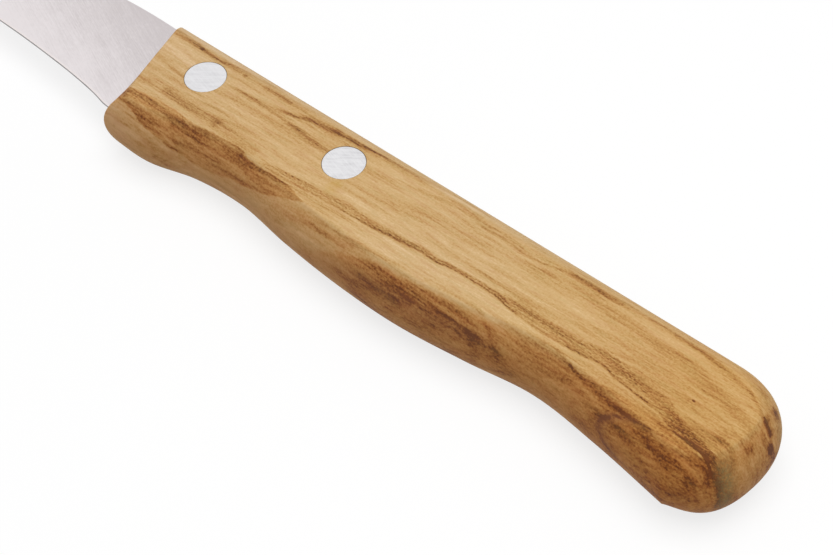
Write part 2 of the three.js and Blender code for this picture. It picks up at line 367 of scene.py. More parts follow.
def slot_cut():
    """The cut for the tang, open at the front and the spine."""
    front_x = FRONT_X - OVERRUN
    floor_y = -TANG_FRONT_DEPTH - TANG_CLEARANCE
    outline = tang_outline([
        (front_x, CROWN_HEIGHT + OVERRUN), (front_x, floor_y), (float(front_face(floor_y)), floor_y),
    ], TANG_CLEARANCE)
    half = SPINE_THICKNESS / 2 + TANG_CLEARANCE
    return "DIFFERENCE", plate("slot", outline, MIDDLE - half, MIDDLE + half)


def rivet_cuts(x):
    """The cuts for a rivet's two heads and its shank."""
    depth = HEAD_THICKNESS + HEAD_CLEARANCE
    radius = HEAD_RADIUS + HEAD_CLEARANCE
    above = THICKNESS + OVERRUN
    return [
        ("DIFFERENCE", round_plate("lower_recess", radius, x, -OVERRUN, depth)),
        ("DIFFERENCE", round_plate("upper_recess", radius, x, THICKNESS - depth, above)),
        ("DIFFERENCE", round_plate("hole", HOLE_RADIUS, x, -OVERRUN, above)),
    ]


def make_handle():
    turn = np.linspace(0, math.pi / 2, EDGE_LEVELS + 1)[1:]
    lower_edge = [(EDGE_DROP * (1 - math.sin(a)), EDGE_WIDTH * (1 - math.cos(a))) for a in turn]
    rim = (MIDDLE - (MIDDLE - EDGE_DROP) * np.cos(np.linspace(0, math.pi, RIM_LEVELS + 1))).tolist()
    profile = [
        *reversed(lower_edge), *[(height, 0) for height in rim],
        *[(THICKNESS - height, eased) for height, eased in lower_edge],
    ]
    handle = ring_object("olive_handle", [
        at_height(handle_outline(height, eased), height) for height, eased in profile])
    return smooth(combine(handle, slot_cut(), *rivet_cuts(0), *rivet_cuts(RIVET_SPACING)))


def blade_section(share):
    """One cross-section of the blade: eased spine, flat ground sides, bevels and the edge."""
    top_x = TIP_X + share * (FRONT_X + OVERRUN - TIP_X)
    foot_x = TIP_X + share * (OVERRUN - NOSE_REACH - TIP_X)
    top = np.array([top_x, CROWN_HEIGHT if top_x > FRONT_X else float(blade_spine(top_x))])
    foot = np.array([foot_x, -HEEL_DEPTH if foot_x > -NOSE_REACH else float(blade_edge(foot_x))])
    height = np.linalg.norm(top - foot)
    half = (TIP_THICKNESS + share * (SPINE_THICKNESS - TIP_THICKNESS)) / 2
    bevel = min(BEVEL_WIDTH / height, BEVEL_TIP_SHARE)
    ease = min(SPINE_ROUNDING / height, BEVEL_TIP_SHARE)
    side = [(1 - ease * (1 - math.sin(a)), half - SPINE_ROUNDING * (1 - math.cos(a)))
            for a in np.linspace(math.pi / 2, 0, EASE_POINTS)]
    side += [(bevel, BEVEL_THICKNESS / 2), (bevel * HONE_WIDTH / BEVEL_WIDTH, HONE_THICKNESS / 2),
             (0, EDGE_THICKNESS / 2)]
    section = [(*(foot + (top - foot) * up), MIDDLE + offset) for up, offset in side]
    return np.array(section + [(x, y, 2 * MIDDLE - z) for x, y, z in reversed(section)])


def mark_faces(blade):
    """Material 0 is for the blade's sides, 1 for its bevels and 2 for the honed line."""
    middle = ORIGIN.z + MIDDLE * MM
    for face in blade.data.polygons:
        reach = max(abs(blade.data.vertices[i].co.z - middle) for i in face.vertices) / MM
        face.material_index = int(reach < BEVEL_REACH) + int(reach < HONE_REACH)


def make_blade():
    shares = np.sin(np.linspace(0, math.pi / 2, BLADE_STEPS + 1))
    blade = ring_object("satin_blade", [blade_section(share) for share in shares])
    behind = np.vstack((
        front_points(-TANG_FRONT_DEPTH, -NOSE_DEPTH, BLADE_CLEARANCE),
        [(RIVET_SPACING, -NOSE_DEPTH), (RIVET_SPACING, -TANG_FRONT_DEPTH)]))
    tang = tang_outline(front_points(CROWN_HEIGHT, -TANG_FRONT_DEPTH, 0), 0)
    half = SPINE_THICKNESS / 2
    steps = [
        ("DIFFERENCE", plate("behind", behind, 0, THICKNESS)),
        ("UNION", plate("tang", tang, MIDDLE - half, MIDDLE + half)),
    ]
    for x in (0, RIVET_SPACING):
        steps.append(("DIFFERENCE", round_plate("hole", HOLE_RADIUS, x, 0, THICKNESS)))
    combine(blade, *steps)
    mark_faces(blade)
    return smooth(blade, BLADE_SHARP_DEGREES)


def turned(name, profile, x, upside_down):
    """A turned body, from a profile of (radius, height) that starts and ends on its axis."""
    turn = np.linspace(0, 2 * math.pi, ROUND_STEPS, endpoint=False)
    points, faces = [], []
    if upside_down:
        profile = [(radius, THICKNESS - height) for radius, height in profile]
    for radius, height in profile[1:-1]:
        points += [(x + radius * math.cos(a), radius * math.sin(a), height) for a in turn]
    ends = (len(points), len(points) + 1)
    points += [(x, 0, profile[0][1]), (x, 0, profile[-1][1])]
    for r in range(len(profile) - 3):
        for i in range(ROUND_STEPS):
            a, b = r * ROUND_STEPS + i, r * ROUND_STEPS + (i + 1) % ROUND_STEPS
            faces.append((a, b, b + ROUND_STEPS, a + ROUND_STEPS))
    last = (len(profile) - 3) * ROUND_STEPS
    for i in range(ROUND_STEPS):
        j = (i + 1) % ROUND_STEPS
        faces.append((ends[0], j, i))
        faces.append((ends[1], last + i, last + j))
    if upside_down:
        faces = [tuple(reversed(face)) for face in faces]
    return smooth(new_piece(name, points, faces))


def head_profile(shank):
    """The flush head's outer face and rim, down to the shank it carries."""
    rim = [(HEAD_RADIUS - HEAD_ROUNDING * (1 - math.sin(a)), HEAD_ROUNDING * (1 - math.cos(a)))
           for a in np.linspace(0, math.pi / 2, HEAD_POINTS)]
    return [(0, 0), *rim, (HEAD_RADIUS, HEAD_THICKNESS), (shank, HEAD_THICKNESS)]


def make_rivet(place, x):
    end = THICKNESS - HEAD_THICKNESS - END_CLEARANCE
    bore = POST_RADIUS + POST_CLEARANCE
    post = [*head_profile(POST_RADIUS), (POST_RADIUS, end), (0, end)]
    socket = [*head_profile(SHANK_RADIUS), (SHANK_RADIUS, end), (bore, end), (bore, HEAD_THICKNESS),
              (0, HEAD_THICKNESS)]
    return {
        f"{place}_rivet_post": turned(f"{place}_post_half", post, x, False),
        f"{place}_rivet_socket": turned(f"{place}_socket_half", socket, x, True),
    }


class Nodes:
    """The node tree of a material or a world, with short calls for the nodes it is made of."""

    def __init__(self, owner):
        owner.use_nodes = True
        self.owner = owner
        self.tree = owner.node_tree
        self.tree.nodes.clear()

    def add(self, kind, inputs=None, **settings):
        """A node with its settings, then its inputs: sockets are linked and values are set."""
        node = self.tree.nodes.new(kind)
        for key, value in settings.items():
            setattr(node, key, value)
        for key, value in (inputs or {}).items():
            if isinstance(value, bpy.types.NodeSocket):
                self.tree.links.new(value, node.inputs[key])
            elif value is not None:
                node.inputs[key].default_value = value
        return node

    def math(self, operation, a, b=None, c=None, clamp=False):
        node = self.add("ShaderNodeMath", {0: a, 1: b, 2: c}, operation=operation, use_clamp=clamp)
        return node.outputs[0]

    def vector_math(self, operation, a, b=None, scale=None):
        """A vector, or a single value where the operation gives one."""
        node = self.add("ShaderNodeVectorMath", {0: a, 1: b, "Scale": scale}, operation=operation)
        single = operation in ("DISTANCE", "DOT_PRODUCT", "LENGTH")
        return node.outputs["Value" if single else "Vector"]

    def total(self, *values):
        return functools.reduce(lambda a, b: self.math("ADD", a, b), values)

    def times(self, *values):
        return functools.reduce(lambda a, b: self.math("MULTIPLY", a, b), values)

    def vector(self, x, y, z):
        return self.add("ShaderNodeCombineXYZ", {0: x, 1: y, 2: z}).outputs[0]

    def noise(self, place, sizes, detail=2, roughness=0.5):
        """Noise about 0, with a size in millimetres along each of the three directions."""
        stretched = self.vector(*[
            self.math("DIVIDE", value, size) for value, size in zip(place, sizes)])
        node = self.add("ShaderNodeTexNoise", {
            "Vector": stretched, "Scale": 1, "Detail": detail, "Roughness": roughness})
        return self.math("SUBTRACT", node.outputs["Fac"], 0.5)

    def spread(self, value, low, high, to_low=0, to_high=1):
        """Maps low..high smoothly to another range."""
        node = self.add("ShaderNodeMapRange", {
            "Value": value, "From Min": low, "From Max": high, "To Min": to_low, "To Max": to_high},
            interpolation_type="SMOOTHSTEP")
        return node.outputs[0]

    def mix(self, share, a, b, blend="MIX"):
        node = self.add("ShaderNodeMix", {"Factor": share, "A": a, "B": b},
                        data_type="RGBA", blend_type=blend)
        return node.outputs["Result"]

    def curve(self, value, points, low, high):
        """A curve through (place, height) points, with heights kept between low and high."""
        first, last = points[0][0], points[-1][0]
        share = self.math("DIVIDE", self.math("SUBTRACT", value, first), last - first, clamp=True)
        node = self.add("ShaderNodeFloatCurve", {"Value": share})
        knots = node.mapping.curves[0].points
        while len(knots) < len(points):
            knots.new(0.5, 0.5)
        for knot, (place, height) in zip(knots, points):
            knot.location = ((place - first) / (last - first), (height - low) / (high - low))
            knot.handle_type = "AUTO"
        node.mapping.update()
        return self.math("MULTIPLY_ADD", node.outputs[0], high - low, low)

    def bell(self, value, centre, half):
        """1 where a value meets the centre, falling smoothly to 0 a half width away."""
        away = self.math("ABSOLUTE", self.math("SUBTRACT", value, centre))
        return self.spread(self.math("DIVIDE", away, half), 0, 1, 1, 0)

    def between(self, value, low, high, soft):
        """1 between two limits, fading over a soft margin outside them."""
        above = self.spread(self.math("SUBTRACT", value, low), -soft, 0)
        below = self.spread(self.math("SUBTRACT", value, high), 0, soft, 1, 0)
        return self.math("MULTIPLY", above, below)

    def reach(self, place, centre, radii):
        """How far a place lies from a centre, where 1 is an ellipsoid with these radii."""
        off = self.vector_math("SUBTRACT", place, centre)
        return self.vector_math("LENGTH", self.vector_math("DIVIDE", off, radii))

    def spot(self, place, centre, radii, soft):
        """1 inside an ellipsoid, fading over a share of its radii on both sides of its surface."""
        return self.spread(self.reach(place, centre, radii), 1 - soft, 1 + soft, 1, 0)

    def stroke(self, place, start, end, width):
        """1 along the straight line between two points, falling to 0 over the width."""
        start, end = Vector(start), Vector(end)
        run = end - start
        off = self.vector_math("SUBTRACT", place, start)
        share = self.vector_math("DOT_PRODUCT", off, run / run.length_squared)
        share = self.math("MULTIPLY", share, 1, clamp=True)
        gap = self.vector_math("DISTANCE", off, self.vector_math("SCALE", run, scale=share))
        return self.spread(gap, 0, width, 1, 0)

    def ramp(self, value, stops):
        node = self.add("ShaderNodeValToRGB", {0: value})
        elements = node.color_ramp.elements
        while len(elements) < len(stops):
            elements.new(0.5)
        for element, (place, colour) in zip(elements, stops):
            element.position = place
            element.color = colour
        return node.outputs[0]

    def part_place(self):
        """The place in the part's own millimetres, as three values."""
        place = self.add("ShaderNodeTexCoord").outputs["Object"]
        local = self.vector_math("SUBTRACT", place, ORIGIN)
        scaled = self.vector_math("SCALE", local, scale=1 / MM)
        return tuple(self.add("ShaderNodeSeparateXYZ", {0: scaled}).outputs)

    def slanted(self, x, y, degrees):
        """X and Y turned to run along and across a direction."""
        cos, sin = math.cos(math.radians(degrees)), math.sin(math.radians(degrees))
        along = self.math("ADD", self.math("MULTIPLY", x, cos), self.math("MULTIPLY", y, sin))
        across = self.math("SUBTRACT", self.math("MULTIPLY", y, cos), self.math("MULTIPLY", x, sin))
        return along, across

    def seen(self):
        """1 for what the camera sees, straight or in a gloss, and 0 for other light."""
        rays = self.add("ShaderNodeLightPath").outputs
        return self.math("MAXIMUM", rays["Is Camera Ray"], rays["Is Glossy Ray"])

    def bump(self, height, depth, strength):
        return self.add("ShaderNodeBump", {
            "Height": height, "Distance": depth * MM, "Strength": strength}).outputs[0]

    def finish(self, **sockets):
        """The shader itself; a socket's name is written with _ for spaces."""
        shader = self.add("ShaderNodeBsdfPrincipled", {
            key.replace("_", " "): value for key, value in sockets.items()})
        self.add("ShaderNodeOutputMaterial", {"Surface": shader.outputs[0]})
        return self.owner


def new_material(name):
    return Nodes(bpy.data.materials.new(name))


# The wood is placed by X, Y and Z below the upper flat, all in millimetres. A tone runs from 0, the
# palest wood, to 1, the darkest. A curve along the handle is its (X, value) points, then the lowest
# and highest value that it is drawn between. A spread, rise or fade is the low and high end of a
# value, then what they become, which is 0 and 1 where it isn't said. Along is from X, to X and how
# soft both ends are.

# Two growth lines run through the whole handle: Y along its upper flat
MAIN_LINE = ([
    (-14, -8.3), (-6, -7.65), (-1.6, -7.35), (5, -6.9), (12.3, -6.3), (15.9, -6.45), (20.5, -6.4),
    (24.4, -6.15), (28, -5.95), (31.6, -5.8), (35.1, -5.5), (39.4, -4.98), (41.1, -4.75), (43.3, -4.9),
    (45, -4.6), (50, -4.46), (52, -4.5), (53.6, -4.8), (55.8, -5.2), (59, -5.36), (63.3, -5.2),
    (65.4, -5), (67.7, -4.7), (69.4, -5.1), (74, -5.64), (76.1, -5.75), (77.6, -6.4), (80.4, -7.1),
    (83.3, -7.4), (85, -7.9), (88, -8.6),
], -9, 1)
UPPER_LINE = ([
    (-14, -1.5), (-6.6, -1.4), (-2, -1.65), (2.6, -1), (8, -0.6), (13.7, 0.1), (16, 0.75), (22, 1.2),
    (28, 1.7), (33.7, 2.2), (36, 2.45), (39.7, 2.86), (41.5, 2.86), (44.4, 2.57), (48.6, 2.75),
    (50.4, 2.4), (52.6, 2.57), (55.4, 3.1), (57.6, 3.46), (59, 3.7), (63.3, 3.8), (66.9, 4),
    (71.9, 3.8), (75.4, 3.64), (79, 3.1), (82.6, 2.4), (84, 1.5), (88, 0),
], -9, 5)

# Slow, quick and rough waves in the wood, (sizes, detail), and how far each of them moves the streaks,
# the growth lines, the layers down the rim, and the knot along X and Y
WAVES = [((16, 5, 7), 1), ((3.5, 1.4, 2.2), 2), ((0.9, 0.5, 0.8), 2)]
STREAK_WANDER = (0.8, 0.35, 0.2)
LINE_WANDER = (0.3, 0.2, 0.2)
LAYER_WANDER = (0.5, 0.6, 0.15)
KNOT_X_WANDER = (0, 0.9, 0)
KNOT_Y_WANDER = (0, 0.5, 0.5)

# The even tone, which rises over a stretch of X, and the streaks and grain on it:
# (sizes, what the middle size runs across, detail, roughness, how dark)
TONE_RISE = (48, 62, 0.36, 0.44)
STREAKS = [
    ((24, 0.16, 11), "share", 2, 0.5, 0.85),
    ((13, 0.8, 2.4), "across", 3, 0.6, 0.85),
    ((4.5, 0.26, 0.8), "across", 2, 0.6, 0.55),
    ((1.1, 0.18, 0.3), "y", 2, 0.6, 0.4),
    ((0.32, 0.24, 0.3), "y", 1, 0.6, 0.6),
]

# Dark lines on and beside the growth lines: (what is measured, where, half width, from X, to X, how
# soft the ends are, how dark, whether the line is darker in some stretches than in others). Share is
# 0 on the main growth line and 1 on the upper one.
LINES = [
    ("off_main", 0, 0.3, 19, 84, 2, 0.3, True),
    ("off_main", 0.42, 0.26, 38, 53, 2, 0.26, True),
    ("off_upper", 0, 0.42, 30, 84, 6, 0.26, True),
    ("off_upper", 0.55, 0.3, 40, 55, 4, 0.16, True),
    ("off_upper", 0, 0.5, -14, 24, 6, 0.14, True),
    ("off_upper", 1.1, 0.4, 2, 24, 4, 0.16, True),
    ("share", 1.27, 0.09, 14, 42, 4, 0.34, False),
    ("share", 1.84, 0.12, -14, 6, 5, 0.36, False),
    ("share", 0.38, 0.15, -14, 10, 4, 0.16, False),
]
STRETCH_SIZES = (4, 40, 9)
STRETCH_SPREAD = (-0.16, 0.14, 0.3, 1)

# The speckled brown band above the main line: its width along the handle, where it starts above the
# line, how soft it is, between which X it runs, and how dark it is
BAND_WIDTH = ([
    (-14, 0), (14, 0), (18, 0.5), (24, 0.9), (30, 1.0), (36, 0.8), (39, 0.5), (45, 0.4), (51, 0.5),
    (55, 1.2), (62, 1.75), (70, 1.95), (76, 1.7), (82, 1.1), (86, 0.6), (88, 0.5),
], 0, 2.5)
BAND_START = 0.1
BAND_SOFT = 0.4
BAND_ALONG = (17, 90, 2)
BAND_DARK = 0.28
SPECKLE_SIZES = (0.4, 0.2, 0.3)
SPECKLE_SPREAD = (-0.14, 0.14, 0.45, 1)
# The pale band below the main line stops at the edge of the flat
PALE_BAND = (-2.4, -0.4, 0.5)
PALE_ALONG = (32, 84, 5)
PALE_SPREAD = (-0.5, -0.1)
PALE_DARK = -0.16

# Bounds of the darker wood on the rim, by layer: a layer is Y, drawn down by TILT times the depth
# below the upper flat. First the brown wedge behind the nose, then the heart of the palm.
TILT = 0.5
WEDGE_TOP = ([
    (-14, -8.4), (-8, -7.8), (-3.8, -7.1), (0, -6.8), (5, -6.9), (8.5, -6.6), (12, -6.4), (14.5, -7),
    (17, -7.1), (19.5, -6.9), (22, -7.3), (24.5, -7.9), (27, -8.4), (88, -8.4),
], -11, -6)
WEDGE_FOOT = ([
    (-14, -9.2), (-5.5, -9.5), (-2, -10.6), (2.5, -11.2), (6, -11.1), (12, -10.4), (17, -9.9),
    (20, -9.2), (24.5, -7.9), (27, -7.4), (88, -7.4),
], -12, -6)
WEDGE_SOFT = 0.3
WEDGE_DARK = 0.32
HEART_TOP = ([
    (-14, -16), (18, -15.5), (24, -13.6), (28, -12.6), (31, -11.2), (36, -9.7), (39, -9.3), (44, -8.5),
    (48, -8), (53.5, -7.6), (59, -7.4), (64, -7.1), (68, -6.7), (72, -6.35), (76, -6.4), (80, -7),
    (84, -8), (88, -9),
], -15, -6)
HEART_SPREAD = (-0.3, 0.6)
HEART_DARK = ([
    (-14, 0.1), (24, 0.1), (30, 0.07), (37, 0.28), (46, 0.33), (53, 0.21), (58, 0), (64, 0.05),
    (70, 0.1), (78, 0.14), (88, 0.14),
], 0, 0.4)
# The darkest wood inside the heart: its layer, half height, place along the handle and tone
CORE = ([
    (-14, -16), (24, -13.8), (30, -12.8), (37, -12), (44, -11.7), (51, -10.8), (58, -10), (64, -9.6),
    (88, -9.6),
], -17, -9)
CORE_HALF = 1.8
CORE_ALONG = (37, 53, 7)
CORE_DARK = 0.26
# Streaks in that darker wood, streaks down the whole rim that fade towards the rear, painted shade
# below the flat on the belly's side, and a paler painted highlight beside the spine up to the butt
DEEP_SIZES = (7, 0.6, 1.1)
DEEP_SPREAD = (-0.18, 0.18, 0.76, 1.08)
RIM_SIZES = (16, 0.8, 1.4)
RIM_FADE = (-1.5, 0, 1, 0)
RIM_REAR_FADE = (6, 22, 1, 0.3)
BELLY_RIM_PAINTED_SHADE = 0.08
BELLY_FADE = (0, 3, 1, 0)
SPINE_PAINTED_HIGHLIGHT = (3.7, 4.4)
SPINE_HIGHLIGHT_ALONG = (78, 84, -0.16, 0)

# A knot in the rear swell. Its reach is 1 on an ellipsoid: dark rings, (reach, half width, how dark),
# fade towards the butt, and the wood inside is a little darker.
KNOT_PLACE = (78, -9.2, -3.4)
KNOT_RADII = (7.2, 2.6, 3.5)
KNOT_RINGS = [(1, 0.08, 0.23), (0.8, 0.07, 0.06), (1.1, 0.2, 0.04)]
KNOT_INSIDE = (0.6, 1.1, 0.05, 0)
RING_FADE = (72.5, 77, 1, 0.2)

# Single marks, paler where the first value is below 0: (how dark, how soft, place, radii)
SPOTS = [
    (0.3, 0.6, (60.5, 3.45, 0), (3.6, 0.34, 3)),
    (0.25, 0.6, (55, 1.86, 0), (1.5, 0.22, 0.5)),
    (0.55, 0.5, (78.4, -2.4, 0), (0.2, 0.14, 0.3)),
    (0.22, 0.8, (9, 0.9, 0), (5, 0.28, 1)),
    (0.28, 0.8, (16.5, 0.6, 0), (3.2, 0.3, 1)),
    (0.2, 0.8, (21, 0.2, 0), (4, 0.3, 1)),
    (-0.1, 0.9, (37, -2.4, 0), (12, 1.5, 3)),
    (0.14, 0.9, (56, -4.4, 0), (6, 0.8, 1)),
    (0.12, 0.9, (37, 2.9, 0), (5, 0.8, 1)),
    (0.14, 0.9, (-5, -1.9, 0), (5, 1, 1)),
    (-0.12, 0.9, (-3, 1, 0), (9, 1.8, 3)),
    (-0.38, 0.8, (-6.5, -10, -5.6), (4.5, 4, 2.6)),
    (-0.2, 0.8, (21, -8.5, -5.2), (9, 3, 2.6)),
    (0.18, 0.9, (79.5, -8.2, -1), (8.5, 2.6, 3)),
    (0.1, 0.9, (76.5, -8.6, -0.2), (9, 2, 0.9)),
    (-0.1, 0.8, (8.5, -9.5, -3.9), (4, 2, 1)),
    (-0.14, 0.8, (31, -8.6, -6.3), (5, 3, 1.6)),
    (0.14, 0.8, (66.5, -7.2, -0.3), (6, 0.9, 0.7)),
    (-0.08, 0.9, (80, -9.4, -5), (5, 2, 2)),
    (0.08, 0.8, (13.5, -7.2, -0.6), (2.4, 1, 1.2)),
    (0.12, 0.8, (73.4, -9.1, -2.3), (0.9, 0.6, 0.6)),
    (0.1, 0.8, (76.6, -8.6, -0.8), (1.5, 0.4, 0.45)),
    (-0.14, 0.8, (87, -4.6, -3.6), (1.2, 1.9, 2.4)),
    (0.16, 0.9, (82, -10.8, -4.4), (2.2, 1.1, 0.9)),
    (0.16, 0.9, (83.6, -9.6, -3.2), (1.1, 0.9, 0.8)),
    (0.3, 0.7, (86.4, -3.1, -1.4), (0.7, 0.7, 0.7)),
    (0.26, 0.8, (83.8, -4.2, -0.2), (1.1, 0.9, 0.5)),
    (0.4, 0.7, (85.7, 0.9, -0.8), (0.5, 0.8, 0.6)),
    (0.46, 0.7, (86.4, 0.7, -1.9), (0.5, 0.6, 0.7)),
    (0.5, 0.7, (87.4, -0.3, -3.3), (0.7, 0.6, 0.9)),
    (0.3, 0.8, (87.5, 0, -5.2), (0.8, 0.9, 0.8)),
    (0.4, 0.8, (85.4, 3.2, -2.2), (0.8, 0.6, 0.9)),
]
# Dark lines through points: (how dark, width, points)
STROKES = [
    (0.22, 0.3, [(80.6, -6.8, 0), (83.6, -7.1, 0), (84.5, -7.8, -0.9), (84.8, -8.3, -2)]),
    (0.1, 0.8, [
        (84.5, -6.7, -0.1), (85.7, -7.1, -1.6), (86.2, -7.6, -3.2), (86.5, -8.2, -5),
        (86.6, -7.8, -7.5)]),
    (0.08, 1.0, [
        (11.9, -5.9, 0), (13.4, -6.8, -0.3), (15.2, -7.1, -0.5), (17, -6.9, -0.3), (19, -6.6, 0)]),
    (0.22, 1.4, [(-2, -4.8, 0), (7, -5, 0), (14, -5.3, 0)]),
    (0.05, 1, [(66.5, -7, -0.2), (72, -7.7, -0.2), (77, -8.1, -0.3), (82, -7.9, -0.3)]),
    (0.16, 1.3, [(8, 3.6, 0), (20, 3.5, 0), (34, 3.5, 0)]),
    (0.26, 0.4, [(62.6, -6.2, -0.1), (64.9, -6.6, -0.4), (67.4, -7.2, -0.9)]),
    (0.12, 0.8, [(85.7, 0.9, -0.8), (86.6, 0.4, -2.2), (87.4, -0.3, -3.6), (87.6, -0.1, -5.4)]),
    (0.16, 0.5, [(-6.4, -7.75, 0), (-4, -7.5, 0), (-1.4, -7.4, 0)]),
    (0.26, 0.5, [(-10, 3.5, 0), (-4, 3.35, 0), (4, 3.3, 0), (12, 3.4, 0)]),
]

# Wood colours by tone
WOOD_STOPS = [
    (0.0, (0.652, 0.444, 0.223, 1)), (0.14, (0.6, 0.395, 0.181, 1)), (0.27, (0.572, 0.367, 0.158, 1)),
    (0.39, (0.54, 0.336, 0.135, 1)), (0.5, (0.5, 0.294, 0.106, 1)), (0.61, (0.445, 0.245, 0.081, 1)),
    (0.74, (0.36, 0.177, 0.053, 1)), (0.87, (0.25, 0.105, 0.028, 1)), (1.0, (0.13, 0.047, 0.017, 1)),
]
REDDISH = (0.4, 0.15, 0.05, 1)
GREENISH = (0.36, 0.25, 0.08, 1)
MAUVE = (0.26, 0.13, 0.075, 1)
STAIN = (0.45, 0.27, 0.02, 1)
OLIVE = (0.23, 0.16, 0.06, 1)
# Redder and greener streaks, and fine greenish grit
HUE_SIZES = (3.5, 0.5, 1.2)
RED_SPREAD = (0, 0.2, 0, 0.2)
GREENER_SPREAD = (-0.2, -0.02, 0.16, 0)
GRIT_SIZES = (0.2, 0.14, 0.2)
GRIT_SPREAD = (0.05, 0.3, 0, 0.16)
# Mauve in the heart's core and on the knot's ring
CORE_MAUVE = (32, 52, 6)
CORE_MAUVE_SHARE = 0.2
RING_MAUVE = (0.98, 0.18)
RING_MAUVE_SHARE = 0.4
# How much green and blue the wood keeps along the handle, and how much of them is lost in turn on
# the belly's rim, in the darker wood, and low on that rim, where the nose loses most
GREEN_SHARES = ([
    (-14, 0.98), (-8, 1.03), (0, 1.04), (15, 1.02), (35, 1.03), (50, 1.03), (65, 0.99), (80, 0.95),
    (88, 0.98),
], 0.8, 1.2)
BLUE_SHARES = ([
    (-14, 1), (-8, 1.17), (0, 1.18), (15, 1.11), (30, 1.11), (45, 1.14), (58, 1.04), (70, 0.96),
    (80, 0.86), (88, 1),
], 0.6, 1.6)
GREEN_LOSS_SHARES = (0.12, 0.07, 0.08)
BLUE_LOSS_SHARES = (0.2, 0.14, 0.2)
EDGE_FADE = (-0.9, 0, 1, 0)
LOW_FADE = (-6, -1, 1, 0)
LOW_NOSE_FADE = (4, 20, 1.35, 1)
# Where the belly runs into the butt, a greenish band comes down the rim: its ends and its width
GREEN_BAND = ((85.9, -6.6, -0.8), (86.8, -7.4, -7), 1.9)
GREEN_BAND_SHARE = 0.85
# A yellow stain beside the rear rivet: (place, radii, how soft)
STAIN_SPOT = ((26, -3.6, 0), (0.8, 1.1, 1), 0.6)
STAIN_SHARE = 0.25
# The grain's relief: its sizes, then its depth and strength
RELIEF_SIZES = (1.5, 0.14, 0.3)
RELIEF = (0.03, 0.5)
WOOD_GLOSS = {"Roughness": 0.6, "Specular_IOR_Level": 0.15}


